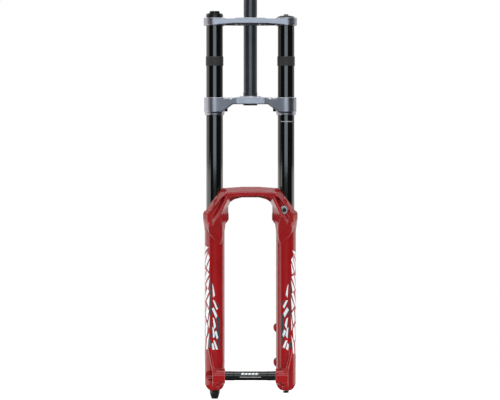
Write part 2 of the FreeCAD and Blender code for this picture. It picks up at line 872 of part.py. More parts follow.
def make_leg_internals():
    washers = []
    for name, side in SIDES.items():
        spot = (f"{side} * leg_x", "-crown_offset")
        slide = "stanchion_radius + running"
        wiper = turned(f"wiper_{name}", [
            (f"{slide} + 0.4", "seal_low"),
            ("seal_bore", "seal_low"),
            ("seal_bore", "leg_top"),
            ("housing_radius - 1.6", "leg_top"),
            ("housing_radius - 1.6", "leg_top + 2"),
            ("housing_radius - 2.4", "leg_top + 2.8"),
            ("19.2", "leg_top + 3"),
            ("18.5", "lip_top"),
            (slide, "lip_top"),
            (slide, "lip_top - 2"),
            (f"{slide} + 0.5", "-247"),
            (slide, "-252"),
        ], *spot)
        keep(wiper, f"wiper_seal_{name}")
        coil = doc.addObject("Part::Torus", f"coil_{name}")
        bind(coil, "Radius1", "19.45")
        bind(coil, "Radius2", "0.5")
        place(coil, *spot, "leg_top + 4")
        keep(coil, f"wiper_spring_{name}")
        foam = ring(f"foam_{name}", slide, "seal_bore", "seal_floor + 0.2", "seal_low - 0.2", *spot)
        keep(foam, f"foam_ring_{name}")
        for place_name, high in (("upper", "-266"), ("lower", "-332")):
            bush = ring(f"{place_name}_{name}", slide, "leg_bore", f"{high} - 20", high, *spot)
            keep(bush, f"{place_name}_bushing_{name}")
        washers.append(ring(f"washer_{name}", "foot_hole", "7.6", "washer_low", "leg_low", *spot))
    keep(grouped("washers", *washers), "crush_washers")


# ---------------------------------------------------------------- lower legs

def make_arch():
    """The arch and its arms, lofted from a wide rear outline to a narrower front one."""
    wide = [
        ("20", "arch_top"),
        ("59", "arch_top - 2.8"),
        ("64.5", "arch_top - 7.6"),
        ("100.3", "-249"),
        ("100.3", "-258"),
        ("93", "-280"),
        ("88", "-290"),
        ("76", "-306"),
        ("70", "-315"),
        ("64", "-315"),
        ("60", "-306"),
        ("58", "-288"),
        ("53", "-272"),
        ("46", "-263"),
        ("46", "-233"),
        ("42", "-225"),
        ("33", "-219.5"),
        ("18", "arch_under"),
    ]
    narrow = [
        ("20", "arch_top - 10.8"),
        ("43", "arch_top - 11.6"),
        ("53", "arch_top - 12"),
        ("79", "-254"),
        ("79.5", "-264"),
        ("80", "-281"),
        ("80", "-291"),
        ("74", "-306"),
        ("70.5", "-315"),
        ("69", "-315"),
        ("66", "-306"),
        ("64.8", "-288"),
        ("65.4", "-272"),
        ("66.4", "-260"),
        ("57", "-238"),
        ("47", "-217"),
        ("38", "-212.5"),
        ("18", "-211.3"),
    ]
    root = prism("arch_root", "XZ", mirrored(wide), "arch_rear", "-crown_offset")
    shell = tapered("arch_shell", mirrored(wide), "arch_rear", mirrored(narrow), "arch_front")
    side = prism("arch_side", "YZ", [
        ("arch_rear", "arch_top + 5"),
        ("arch_rear", "leg_top - 1.5"),
        ("-crown_offset", "leg_top - 1.5"),
        ("-crown_offset", "-315"),
        ("-47.2", "-315"),
        ("-54", "-290"),
        ("arch_front", "-256"),
        ("arch_front", "arch_top + 5"),
    ], "-110", "110")
    return common("arch_shape", fused("arch_solid", shell, root), side)


def arm_pocket(name, side):
    """The long recess down the front of one arm of the arch, whose inner wall slants outwards."""
    mouth = (
        ("50", "-211"),
        ("58", "-211"),
        ("92", "-251"),
        ("92", "-267"),
        ("83", "-294"),
        ("71", "-286"),
        ("69", "-259"),
    )
    floor = (
        ("58.5", "-217"),
        ("60.5", "-217.5"),
        ("90.5", "-252"),
        ("90.5", "-265"),
        ("82.5", "-288"),
        ("80.5", "-284"),
        ("82", "-260"),
    )
    wide, narrow = (
        [(f"{side} * {across}", up) for across, up in points]
        for points in (mouth, floor)
    )
    return tapered(f"arm_pocket_{name}", wide, "arch_front - 1", narrow, "arch_front + 14")


def arch_hollow(name, side):
    """One of the two recesses that lighten the arch from behind."""
    points = [(f"{side} * {across}", up) for across, up in (
        ("3", "arch_top - 6"),
        ("44", "arch_top - 8"),
        ("50", "arch_top - 12"),
        ("36", "-211"),
        ("3", "-209.5"),
    )]
    return prism(f"arch_hollow_{name}", "XZ", points, "-59.5", "-45")


# The front of a dropout at four heights, as (outwards, forwards) from its leg's axis.
CHEEK = (
    ("-534", ((-8, -2), (-8, 19), (0, 20.6), (8, 19), (13, 16), (13, -2))),
    ("-575", ((-8, -2), (-8, 31), (0, 32.4), (8, 32.4), (13, 31), (13, -2))),
    ("-609", ((-8, -2), (-8, 31), (0, 32.4), (8, 32.4), (13, 31), (13, -2))),
    ("-623", ((-8, -2), (-8, 15), (0, 16.5), (8, 15), (11, 12.5), (11, -2))),
)


def upright(name, side, depths, points):
    """A prism through the front of one leg, from an outline of (x, z) points."""
    return prism(name, "XZ", [(f"{side} * {across}", up) for across, up in points], *depths)


def make_cheek(name, side):
    """The dropout in front of a leg: it swells out of the tube, and a rib slants down to the axle lug."""
    sections = []
    for number, (level, points) in enumerate(CHEEK):
        corners = [(f"{side} * (leg_x + {out})", f"-crown_offset - ({ahead})") for out, ahead in points]
        sections.append(outline(f"cheek_{name}_{number}", "XY", corners, level))
    swell = doc.addObject("Part::Loft", f"swell_{name}")
    swell.Sections = sections
    swell.Solid = True
    swell.Ruled = True
    inner = upright(f"inner_valley_{name}", side, ("-75", "-30"), (
        ("82.5", "-530"),
        ("82.5", "-550"),
        ("74", "-583"),
        ("60", "-583"),
        ("60", "-530"),
    ))
    outer = upright(f"outer_valley_{name}", side, ("-75", "-20"), (
        ("95", "-530"),
        ("88", "-548"),
        (LUG_END, "-584"),
        (LUG_END, "-630"),
        ("95", "-630"),
    ))
    return carved(f"cheek_{name}", swell, inner, outer)


def make_leg(name, side):
    """One lower leg tube with its seal housing, its dropout and its axle lug."""
    tube = turned(f"leg_{name}", [
        ("0", "leg_low"),
        ("11.5", "leg_low"),
        ("16", "leg_low + 3.5"),
        ("leg_radius", "leg_low + 12"),
        ("leg_radius", "leg_top - 40"),
        ("housing_radius", "leg_top - 14"),
        ("housing_radius", "leg_top"),
        ("0", "leg_top"),
    ], f"{side} * leg_x", "-crown_offset")
    ends = sorted((f"{side} * lug_inner", f"{side} * {LUG_END}"), key=value)
    lug = rod(f"lug_{name}", "lug_radius", (ends[0], "-axle_offset", "axle_z"), f"{LUG_END} - lug_inner", "X")
    return fused(f"leg_solid_{name}", tube, make_cheek(name, side), lug)


def leg_cavities(name, side):
    """Everything hollow inside one lower leg, as one turned cutter."""
    return turned(f"cavity_{name}", [
        ("0", "leg_low - 5"),
        ("foot_hole", "leg_low - 5"),
        ("foot_hole", "foot_floor"),
        ("foot_bore", "foot_floor"),
        ("foot_bore", "cavity_low - 14"),
        ("leg_bore", "cavity_low"),
        ("leg_bore", "seal_floor"),
        ("seal_bore", "seal_floor"),
        ("seal_bore", "leg_top + 5"),
        ("0", "leg_top + 5"),
    ], f"{side} * leg_x", "-crown_offset")


def dropout_cuts(name, side):
    """Recesses round one axle lug: the hub seat, a groove above its middle and a low pocket."""
    seat_start = "lug_inner - 2" if side == "1" else "-hub_half"
    seat_spot = (seat_start, "-axle_offset", "axle_z")
    seat = rod(f"hub_seat_{name}", "seat_radius", seat_spot, "hub_half - lug_inner + 2", "X")
    groove = upright(f"lug_groove_{name}", side, ("-75", "-59"), (
        ("58", "-585"),
        ("77", "-585"),
        ("77", "-589"),
        ("58", "-589"),
    ))
    under = upright(f"under_pocket_{name}", side, ("-75", "-43"), (
        ("73", "-611.5"),
        ("61", "-611.5"),
        ("62.5", "-616"),
        ("72", "-617.5"),
    ))
    return [seat, groove, under]


def brake_mount():
    """Two posts behind the brake-side leg and the web that ties them to it."""
    pieces = []
    holes = []
    for step in range(2):
        level = f"post_high - {step} * post_pitch"
        pieces.append(rod(f"post_{step}", "post_radius", ("post_x", "-24", level), "24 + post_face", "Y"))
        holes.append(rod(f"post_hole_{step}", "post_hole", ("post_x", "post_face - 16", level), "20", "Y"))
    pieces.append(prism("post_web", "YZ", [
        ("-22", "post_high + 34"),
        ("-10", "post_high + 30"),
        ("post_face - 4", "post_high + 6"),
        ("post_face - 4", "post_high - 4"),
        ("-1", "post_high - 20"),
        ("-1", "post_high - post_pitch + 20"),
        ("post_face - 4", "post_high - post_pitch + 4"),
        ("post_face - 4", "post_high - post_pitch - 6"),
        ("-8", "post_high - post_pitch - 22"),
        ("-22", "post_high - post_pitch - 26"),
    ], "hub_half + 1", "hub_half + 9"))
    return pieces, holes


def make_lower_legs():
    pieces = [make_arch()]
    tools = []
    for name, side in SIDES.items():
        pieces.append(make_leg(name, side))
        tools.append(leg_cavities(name, side))
        tools.append(arm_pocket(name, side))
        tools.append(arch_hollow(name, side))
        tools += dropout_cuts(name, side)
    posts, holes = brake_mount()
    pieces += posts
    tools += holes
    hole_spot = ("-hub_half - 65", "-axle_offset", "axle_z")
    hole_length = f"hub_half + 65 + {LUG_END} + 0.5"
    tools.append(rod("axle_hole", "axle_radius + running", hole_spot, hole_length, "X"))
    head_seat = ("-dropout_outer - 3", "-axle_offset", "axle_z")
    seat_depth = "dropout_outer + 3 - axle_head + head_length + 0.1"
    tools.append(rod("axle_head_seat", "head_radius + 0.3", head_seat, seat_depth, "X"))
    tools.append(prism("guide_seat", "XZ", guide_outline("0.8"), "-80", "-62"))
    tools.append(rod("guide_screw_hole", "guide_thread", ("guide_x", "-63", "guide_z"), "6", "Y"))
    casting = carved("casting", fused("casting_blank", *pieces), *tools)
    keep(casting, "lower_leg_casting")


def guide_outline(margin):
    """The hose guide's outline, with a margin all round it."""
    return [
        (f"65.5 - {margin}", "-234"),
        ("74", f"-232 + {margin}"),
        (f"78.5 + {margin}", "-238"),
        (f"77.5 + {margin}", "-247"),
        ("72", f"-251 - {margin}"),
        (f"67.5 - {margin}", "-246"),
    ]


def make_hose_guide():
    """The brake hose clip that sits in the brake-side arm's recess, with its screw."""
    plate = prism("guide_plate", "XZ", guide_outline("0"), "-66", "-62")
    hole = rod("guide_hole", "guide_thread", ("guide_x", "-70", "guide_z"), "12", "Y")
    keep(carved("guide", plate, hole), "hose_guide")
    screw = turned("guide_screw", [
        ("0", "-8"),
        ("guide_thread", "-8"),
        ("guide_thread", "0"),
        ("4.2", "0"),
        ("4.2", "2.6"),
        ("3.6", "3.2"),
        ("0", "3.2"),
    ])
    corners = [(f"2.2 * cos({60 * step})", f"2.2 * sin({60 * step})") for step in range(6)]
    socket = prism("guide_socket", "XY", corners, "1.2", "5")
    bolt = carved("guide_bolt", screw, socket)
    place(bolt, "guide_x", "-66", "guide_z", Rotation(Vector(1, 0, 0), 90))
    keep(bolt, "hose_guide_bolt")


# ---------------------------------------------------------------- axle

def make_axle():
    shaft = turned("axle_tube", [
        ("6", "-axle_head"),
        ("head_radius", "-axle_head"),
        ("head_radius", "-axle_head + head_length"),
        ("axle_radius", "-axle_head + head_length"),
        ("axle_radius", "-36"),
        ("axle_radius - 0.3", "-35"),
        ("axle_radius - 0.3", "35"),
        ("axle_radius", "36"),
        ("axle_radius", f"{LUG_END} - 2"),
        ("axle_radius - 1.5", f"{LUG_END} - 0.5"),
        ("6", f"{LUG_END} - 0.5"),
    ], "0", "-axle_offset", "axle_z", "X")
    keep(shaft, "axle_shaft")
    plug = turned("wedge", [
        ("0", "-axle_head + 1"),
        ("5.6", "-axle_head + 1"),
        ("6", "-axle_head + 1.6"),
        ("6", "-axle_head + 16"),
        ("4", "-axle_head + 20"),
        ("0", "-axle_head + 20"),
    ])
    corners = [(f"3.4 * cos({60 * step})", f"3.4 * sin({60 * step})") for step in range(6)]
    socket = prism("wedge_socket", "XY", corners, "-axle_head - 3", "-axle_head + 9")
    wedge = carved("axle_wedge_shape", plug, socket)
    place(wedge, "0", "-axle_offset", "axle_z", Rotation(Vector(0, 1, 0), 90))
    keep(wedge, "axle_wedge")


# ---------------------------------------------------------------- build and write

def check_document():
    """Stop if any object failed or any sub-part has no valid solid."""
    for item in doc.Objects:
        if "Invalid" in item.State or "Error" in item.State:
            raise SystemExit(f"{item.Name} failed: {item.State}")
    for item in parts:
        if item.Shape.isNull() or not item.Shape.isValid() or not item.Shape.Solids:
            raise SystemExit(f"{item.Label} has no valid solid")


def write_parts():
    os.makedirs("parts", exist_ok=True)
    for item in parts:
        item.Shape.exportStep(f"parts/{item.Label}.step")
        solids = len(item.Shape.Solids)
        print(f"{item.Label}: {solids} solid(s), {item.Shape.Volume / 1000:.2f} cm3")


def build():
    damper_spot = ("-leg_x", "-crown_offset")
    air_spot = ("leg_x", "-crown_offset")
    fill_sheet()
    make_steerer()
    make_lower_crown()
    make_upper_crown()
    make_pinch_bolts()
    make_stanchions()
    make_top_cap(damper_spot)
    make_compression_knobs(damper_spot)
    make_damper(damper_spot)
    make_rebound_adjuster(damper_spot)
    make_air_spring(air_spot)
    make_piston_nuts((damper_spot, air_spot))
    make_leg_internals()
    make_lower_legs()
    make_hose_guide()
    make_axle()
    doc.recompute()
    check_document()
    write_parts()


build()
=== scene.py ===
"""Looks for the dual-crown suspension fork: meshes, materials, camera and lights.

Everything is in metres in the CAD's own frame: +Z up the steerer, -Y forward, +X the rider's left.
"""
import json
import math
from collections import namedtuple

import bmesh
import bpy
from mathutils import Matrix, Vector


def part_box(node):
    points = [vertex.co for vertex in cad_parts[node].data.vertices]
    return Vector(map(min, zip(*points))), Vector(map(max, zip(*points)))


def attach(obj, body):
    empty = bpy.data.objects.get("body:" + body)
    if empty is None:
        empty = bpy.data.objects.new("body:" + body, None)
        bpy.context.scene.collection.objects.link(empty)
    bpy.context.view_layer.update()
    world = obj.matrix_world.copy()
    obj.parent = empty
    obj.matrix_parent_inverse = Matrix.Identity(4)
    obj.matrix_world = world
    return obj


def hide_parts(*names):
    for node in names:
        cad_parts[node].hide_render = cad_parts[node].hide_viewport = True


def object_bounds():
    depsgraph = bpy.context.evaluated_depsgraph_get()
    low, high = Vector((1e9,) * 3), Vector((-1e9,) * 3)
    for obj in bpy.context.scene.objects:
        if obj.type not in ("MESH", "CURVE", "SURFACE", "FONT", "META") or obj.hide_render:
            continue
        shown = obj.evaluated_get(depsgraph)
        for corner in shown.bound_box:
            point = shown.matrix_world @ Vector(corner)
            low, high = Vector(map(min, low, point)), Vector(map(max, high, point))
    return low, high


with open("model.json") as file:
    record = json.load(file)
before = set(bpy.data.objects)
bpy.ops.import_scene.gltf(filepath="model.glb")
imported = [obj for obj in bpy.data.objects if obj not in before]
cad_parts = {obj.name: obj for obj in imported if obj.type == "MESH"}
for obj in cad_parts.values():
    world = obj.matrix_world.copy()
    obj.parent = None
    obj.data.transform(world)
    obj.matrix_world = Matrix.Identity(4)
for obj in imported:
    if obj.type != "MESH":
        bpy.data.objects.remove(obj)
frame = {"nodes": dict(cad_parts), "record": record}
CAD_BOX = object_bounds()
NODES = frame["nodes"]
RECORD = frame["record"]
MM = 0.001

SLOT = {row["node"]: row["material_slot"] for row in RECORD["subparts"]}


def middle(node):
    """The centre of a CAD node's box."""
    low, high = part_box(node)
    return (Vector(low) + Vector(high)) / 2


LEG = {side: middle(f"stanchion_{side}") for side in ("damper_side", "air_side")}
SIGN = {"damper_side": -1, "air_side": 1}
LEG_RADIUS = 21 * MM
STANCHION_RADIUS = 17.5 * MM
AXLE = middle("axle_shaft")
AXLE_RADIUS = 9.7 * MM
FLOOR_LEVEL = CAD_BOX[0][2]


# ---------------------------------------------------------------- camera and room

WHITE = (1, 1, 1)
COOL = (0.80, 0.93, 1)
WARM = (1, 0.98, 0.96)
SENSOR_WIDTH = 36
VIEW_REACH = 50
VIEW_DISTANCE = 6.0
VIEW_LEVEL = -0.05
SEEN_WIDTH = 1.065
SEEN_CENTRE = Vector((-0.0007, LEG["air_side"].y, -0.2215))
LIGHT_LEVEL = -0.2
FILL_COLOUR = (0.93, 0.96, 1)
FILL_GLOW = 0.03
FLOOR_RADIUS = 1.25
FLOOR_GAP = 0.4 * MM
FLOOR_FADE = (0.3, 1.2)
FLOOR_GLOW = 0.6


def make_camera():
    data = bpy.data.cameras.new("camera")
    data.sensor_width = SENSOR_WIDTH
    data.clip_end = VIEW_REACH
    camera = bpy.data.objects.new("camera", data)
    camera.location = (SEEN_CENTRE.x, SEEN_CENTRE.y - VIEW_DISTANCE, VIEW_LEVEL)
    ahead = SEEN_CENTRE - camera.location
    data.lens = SENSOR_WIDTH * ahead.length / SEEN_WIDTH
    camera.rotation_euler = ahead.to_track_quat("-Z", "Y").to_euler()
    bpy.context.collection.objects.link(camera)
    bpy.context.scene.camera = camera


def soft_box(name, turn, tilt, distance, size, glow,
             level=LIGHT_LEVEL, colour=WHITE, in_gloss=True):
    """A rectangular light that faces the fork at one level.

    turn is in degrees from the front towards +X, tilt is upwards, and glow is its brightness.
    A light that isn't in_gloss lights the paint but makes no reflection.
    """
    centre = Vector((0, 0, level))
    around, up = math.radians(turn), math.radians(tilt)
    away = Vector((math.sin(around) * math.cos(up), -math.cos(around) * math.cos(up), math.sin(up)))
    data = bpy.data.lights.new(name, "AREA")
    data.shape = "RECTANGLE"
    data.size, data.size_y = size
    data.energy = glow * math.pi * size[0] * size[1]
    data.color = colour
    light = bpy.data.objects.new(name, data)
    light.location = centre + distance * away
    light.rotation_euler = (-away).to_track_quat("-Z", "Y").to_euler()
    light.visible_camera = False
    light.visible_glossy = in_gloss
    bpy.context.collection.objects.link(light)


def backdrop(tree, colour, strength):
    """One even colour of the world."""
    node = tree.nodes.new("ShaderNodeBackground")
    node.inputs["Color"].default_value = (*colour, 1)
    node.inputs["Strength"].default_value = strength
    return node.outputs[0]


def make_surround():
    """White where the camera looks past the fork, and a dim even fill everywhere else."""
    world = bpy.data.worlds.new("surround")
    bpy.context.scene.world = world
    world.use_nodes = True
    tree = world.node_tree
    tree.nodes.clear()
    out = tree.nodes.new("ShaderNodeOutputWorld")
    mix = tree.nodes.new("ShaderNodeMixShader")
    path = tree.nodes.new("ShaderNodeLightPath")
    tree.links.new(path.outputs["Is Camera Ray"], mix.inputs[0])
    tree.links.new(backdrop(tree, FILL_COLOUR, FILL_GLOW), mix.inputs[1])
    tree.links.new(backdrop(tree, WHITE, 1), mix.inputs[2])
    tree.links.new(mix.outputs[0], out.inputs[0])


def floor_paint():
    """Pale and matt, clearing to nothing towards the floor's rim."""
    pale = bpy.data.materials.new("floor_paint")
    pale.use_nodes = True
    tree = pale.node_tree
    shader = tree.nodes["Principled BSDF"]
    shader.inputs["Base Color"].default_value = (0.9, 0.9, 0.9, 1)
    shader.inputs["Roughness"].default_value = 0.9
    shader.inputs["Specular IOR Level"].default_value = 0
    shader.inputs["Emission Color"].default_value = (1, 1, 1, 1)
    shader.inputs["Emission Strength"].default_value = FLOOR_GLOW
    place = tree.nodes.new("ShaderNodeTexCoord")
    length = tree.nodes.new("ShaderNodeVectorMath")
    length.operation = "LENGTH"
    fade = tree.nodes.new("ShaderNodeMapRange")
    fade.interpolation_type = "SMOOTHSTEP"
    fade.inputs["From Min"].default_value, fade.inputs["From Max"].default_value = FLOOR_FADE
    clear = tree.nodes.new("ShaderNodeBsdfTransparent")
    mix = tree.nodes.new("ShaderNodeMixShader")
    tree.links.new(place.outputs["Object"], length.inputs[0])
    tree.links.new(length.outputs["Value"], fade.inputs["Value"])
    tree.links.new(fade.outputs["Result"], mix.inputs[0])
    tree.links.new(shader.outputs[0], mix.inputs[1])
    tree.links.new(clear.outputs[0], mix.inputs[2])
    tree.links.new(mix.outputs[0], tree.nodes["Material Output"].inputs["Surface"])
    return pale


def make_floor():
    """A pale round floor that fades into the white surround and stays out of reflections."""
    mesh = bpy.data.meshes.new("floor")
    shape = bmesh.new()
    bmesh.ops.create_circle(shape, cap_ends=True, segments=96, radius=FLOOR_RADIUS)
    shape.to_mesh(mesh)
    shape.free()
    mesh.materials.append(floor_paint())
    floor = bpy.data.objects.new("floor", mesh)
    floor.location = (0, 0, FLOOR_LEVEL - FLOOR_GAP)
    floor.visible_glossy = False
    bpy.context.collection.objects.link(floor)


def make_room():
    """The surround, the floor and the lights, each by its turn, tilt, distance, size and glow."""
    make_surround()
    make_floor()
    soft_box("front_high_box", 1, 0, 3.4, (2.7, 1.1), 1.9, 0.33, COOL)
    soft_box("front_low_box", 1, 0, 3.4, (2.7, 0.9), 0.12, -0.68, COOL)
    soft_box("front_fill", 12, 12, 4.0, (2.2, 2.0), 7.0, in_gloss=False)
    soft_box("left_high_box", -116, 0, 2.6, (3.6, 1.3), 0.9, 0.45, WARM)
    soft_box("left_low_box", -104, 0, 2.6, (5.4, 1.6), 1.5, -1.0, WARM)
    soft_box("right_high_box", 128, 0, 2.6, (2.8, 1.3), 0.6, 0.45, WARM)
    soft_box("right_low_box", 120, 0, 2.6, (3.2, 1.6), 1.3, -1.0, WARM)
    soft_box("left_top_box", -112, 40, 2.6, (2.8, 1.1), 1.6, colour=WARM)
    soft_box("right_top_box", 112, 40, 2.6, (2.8, 1.1), 1.4, colour=WARM)
    soft_box("top_box", 0, 66, 2.6, (2.6, 1.8), 2.6)
    soft_box("rear_top_box", 180, 45, 2.8, (2.6, 1.5), 0.95)
    soft_box("back_box", 180, 18, 3.0, (1.6, 0.9), 1.2)
    bpy.context.scene.view_settings.view_transform = "Standard"


# ---------------------------------------------------------------- materials

# A finish: its base colour, a second colour that it drifts to, its roughness and how far that
# varies, the pattern of its fine relief with the relief's width and depth in millimetres, and
# then how metallic it is, its clear coat and its index of refraction.
Finish = namedtuple(
    "Finish", "colour second rough spread pattern size depth metal coat ior", defaults=(0, 0, 1.5))
FINISH = {
    "anodised_crown": Finish(
        (0.48, 0.48, 0.54), (0.44, 0.44, 0.5),
        0.36, 0.05, "grain", 0.5, 0.012, metal=1),
    "black_anodised_tube": Finish(
        (0.0012, 0.0014, 0.0016), (0.002, 0.002, 0.002),
        0.07, 0.02, "rings", 0.5, 0.001, ior=1.82),
    "steerer_black": Finish(
        (0.1, 0.105, 0.115), (0.08, 0.085, 0.095),
        0.3, 0.06, "rings", 0.4, 0.006, metal=0.8, ior=1.7),
    "black_anodised_part": Finish(
        (0.01, 0.01, 0.011), (0.018, 0.018, 0.019),
        0.22, 0.05, "grain", 0.4, 0.006, metal=0.4, ior=1.9),
    "plain_aluminium": Finish(
        (0.7, 0.71, 0.73), (0.62, 0.63, 0.65),
        0.28, 0.08, "rings", 0.3, 0.004, metal=1),
    "dark_steel": Finish(
        (0.018, 0.018, 0.02), (0.035, 0.033, 0.032),
        0.36, 0.1, "grain", 0.6, 0.008, metal=0.6),
    "bright_steel": Finish(
        (0.58, 0.58, 0.59), (0.5, 0.5, 0.51),
        0.25, 0.08, "rings", 0.25, 0.003, metal=1),
    "chrome_shaft": Finish(
        (0.78, 0.78, 0.8), (0.74, 0.74, 0.76),
        0.08, 0.03, "rings", 0.4, 0.001, metal=1),
    "red_casting": Finish(
        (0.28, 0.006, 0.008), (0.24, 0.005, 0.006),
        0.4, 0.04, "peel", 3.2, 0.02, coat=1, ior=1.2),
    "black_rubber": Finish(
        (0.022, 0.022, 0.021), (0.03, 0.029, 0.028),
        0.58, 0.08, "grain", 0.7, 0.03),
    "foam": Finish(
        (0.1, 0.095, 0.085), (0.06, 0.055, 0.05),
        0.9, 0.05, "cells", 0.8, 0.15, ior=1.4),
    "bushing_lining": Finish(
        (0.36, 0.31, 0.19), (0.25, 0.22, 0.15),
        0.45, 0.1, "grain", 0.5, 0.01, metal=0.6),
    "black_plastic": Finish(
        (0.022, 0.022, 0.023), (0.028, 0.028, 0.029),
        0.5, 0.06, "grain", 0.6, 0.015, ior=1.47),
    "grey_plastic": Finish(
        (0.3, 0.31, 0.32), (0.26, 0.27, 0.28),
        0.45, 0.06, "grain", 0.6, 0.012, ior=1.47),
    "white_plastic": Finish(
        (0.8, 0.8, 0.77), (0.74, 0.74, 0.7),
        0.4, 0.05, "grain", 0.6, 0.01, ior=1.47),
    "brass": Finish(
        (0.7, 0.5, 0.2), (0.6, 0.42, 0.17),
        0.3, 0.08, "rings", 0.3, 0.004, metal=1),
    "crush_aluminium": Finish(
        (0.62, 0.62, 0.63), (0.55, 0.55, 0.56),
        0.4, 0.08, "grain", 0.5, 0.008, metal=1),
}

# The colours that outer edges and inner corners drift to, for the cast and forged pieces, whose
# soft meshes are fine enough to tell an edge from a face. The pale edge colour is a painted
# highlight (on the crowns also lighter machined edges), and the dark corner colour is painted
# shade.
EDGES = {
    "anodised_crown": ((0.70, 0.71, 0.76), (0.22, 0.22, 0.25)),
    "red_casting": ((0.66, 0.22, 0.22), (0.10, 0.003, 0.004)),
}
EDGE_SPAN = (0.515, 0.57)
CORNER_SPAN = (0.485, 0.42)
DRIFT_SIZE = 35
DRIFT_SPAN = (0.3, 0.7)
PATCH_SIZE = 6
PATCH_SPAN = (-0.8, 1)
RING_STRETCH = 0.02
COAT_ROUGHNESS = 0.04


def relief(tree, pattern, size):
    """The height texture of a finish; size is the relief's width in millimetres."""
    place = tree.nodes.new("ShaderNodeTexCoord")
    mapping = tree.nodes.new("ShaderNodeMapping")
    per_metre = 1 / (size * MM)
    along = RING_STRETCH * per_metre if pattern == "rings" else per_metre
    mapping.inputs["Scale"].default_value = (along, along, per_metre)
    tree.links.new(place.outputs["Object"], mapping.inputs["Vector"])
    kind = "ShaderNodeTexVoronoi" if pattern == "cells" else "ShaderNodeTexNoise"
    texture = tree.nodes.new(kind)
    texture.inputs["Scale"].default_value = 1
    if pattern == "cells":
        height = texture.outputs["Distance"]
    else:
        texture.inputs["Detail"].default_value = 1 if pattern == "peel" else 3
        height = texture.outputs[0]
    tree.links.new(mapping.outputs["Vector"], texture.inputs["Vector"])
    return height


def ramp(tree, source, span):
    """source, spread so that the span's first value becomes 0 and its second becomes 1."""
    spread = tree.nodes.new("ShaderNodeMapRange")
    spread.inputs["From Min"].default_value, spread.inputs["From Max"].default_value = span
    tree.links.new(source, spread.inputs["Value"])
    return spread.outputs["Result"]


def drift(tree, size):
    """A variation over the piece from 0 to 1, in patches about size millimetres wide."""
    place = tree.nodes.new("ShaderNodeTexCoord")
    noise = tree.nodes.new("ShaderNodeTexNoise")
    noise.inputs["Scale"].default_value = 1 / (size * MM)
    noise.inputs["Detail"].default_value = 3
    tree.links.new(place.outputs["Object"], noise.inputs["Vector"])
    return ramp(tree, noise.outputs[0], DRIFT_SPAN)


def tint(tree, colour, target, share):
    """colour, drifting to target as share grows from 0 to 1."""
    mix = tree.nodes.new("ShaderNodeMix")
    mix.data_type = "RGBA"
    mix.inputs["B"].default_value = (*target, 1)
    tree.links.new(colour, mix.inputs["A"])
    tree.links.new(share, mix.inputs["Factor"])
    return mix.outputs["Result"]


def edge_glint_and_corner_shade(tree, colour, edges):
    """colour with a painted highlight, paler along outer edges in broken patches (on the crowns
    also lighter machined edges), and painted shade, darker in the inner corners.
    """
    bend = tree.nodes.new("ShaderNodeNewGeometry").outputs["Pointiness"]
    machined_edge_and_glint, corner_shade = edges
    patches = tree.nodes.new("ShaderNodeMath")
    patches.operation = "MULTIPLY"
    tree.links.new(ramp(tree, bend, EDGE_SPAN), patches.inputs[0])
    tree.links.new(ramp(tree, drift(tree, PATCH_SIZE), PATCH_SPAN), patches.inputs[1])
    paler = tint(tree, colour, machined_edge_and_glint, patches.outputs["Value"])
    return tint(tree, paler, corner_shade, ramp(tree, bend, CORNER_SPAN))


def finish(name, row):
    """A procedural material from one Finish."""
    paint = bpy.data.materials.new(name)
    paint.use_nodes = True
    tree = paint.node_tree
    shader = tree.nodes["Principled BSDF"]
    shader.inputs["Metallic"].default_value = row.metal
    shader.inputs["IOR"].default_value = row.ior
    shader.inputs["Coat Weight"].default_value = row.coat
    shader.inputs["Coat Roughness"].default_value = COAT_ROUGHNESS
    height = relief(tree, row.pattern, row.size)

    mix = tree.nodes.new("ShaderNodeMix")
    mix.data_type = "RGBA"
    mix.inputs["A"].default_value = (*row.colour, 1)
    mix.inputs["B"].default_value = (*row.second, 1)
    tree.links.new(drift(tree, DRIFT_SIZE), mix.inputs["Factor"])
    colour = mix.outputs["Result"]
    if name in EDGES:
        # Painted highlight along the outer edges and painted shade in the inner corners.
        colour = edge_glint_and_corner_shade(tree, colour, EDGES[name])
    tree.links.new(colour, shader.inputs["Base Color"])

    gloss = tree.nodes.new("ShaderNodeMapRange")
    gloss.inputs["To Min"].default_value = row.rough - row.spread
    gloss.inputs["To Max"].default_value = row.rough + row.spread
    tree.links.new(height, gloss.inputs["Value"])
    tree.links.new(gloss.outputs["Result"], shader.inputs["Roughness"])

    bump = tree.nodes.new("ShaderNodeBump")
    bump.inputs["Distance"].default_value = row.depth * MM
    tree.links.new(height, bump.inputs["Height"])
    tree.links.new(bump.outputs["Normal"], shader.inputs["Normal"])
    if row.coat:
        tree.links.new(bump.outputs["Normal"], shader.inputs["Coat Normal"])
    return paint


def make_finishes():
    return {name: finish(name, row) for name, row in FINISH.items()}


def paint_nodes(paints):
    for name, thing in NODES.items():
        for slot in thing.material_slots:
            slot.material = paints[SLOT[name]]


# ---------------------------------------------------------------- meshes

WELD = 0.001 * MM
RELAX = 0.5
FILM_SUNK = 0.15 * MM
FILM_STEP = math.radians(4)


def link(name, mesh):
    piece = bpy.data.objects.new(name, mesh)
    bpy.context.collection.objects.link(piece)
    return piece


def apply_modifiers(piece):
    """Work the piece's modifiers into a mesh of its own."""
    graph = bpy.context.evaluated_depsgraph_get()
    mesh = bpy.data.meshes.new_from_object(piece.evaluated_get(graph))
    piece.modifiers.clear()
    piece.data = mesh


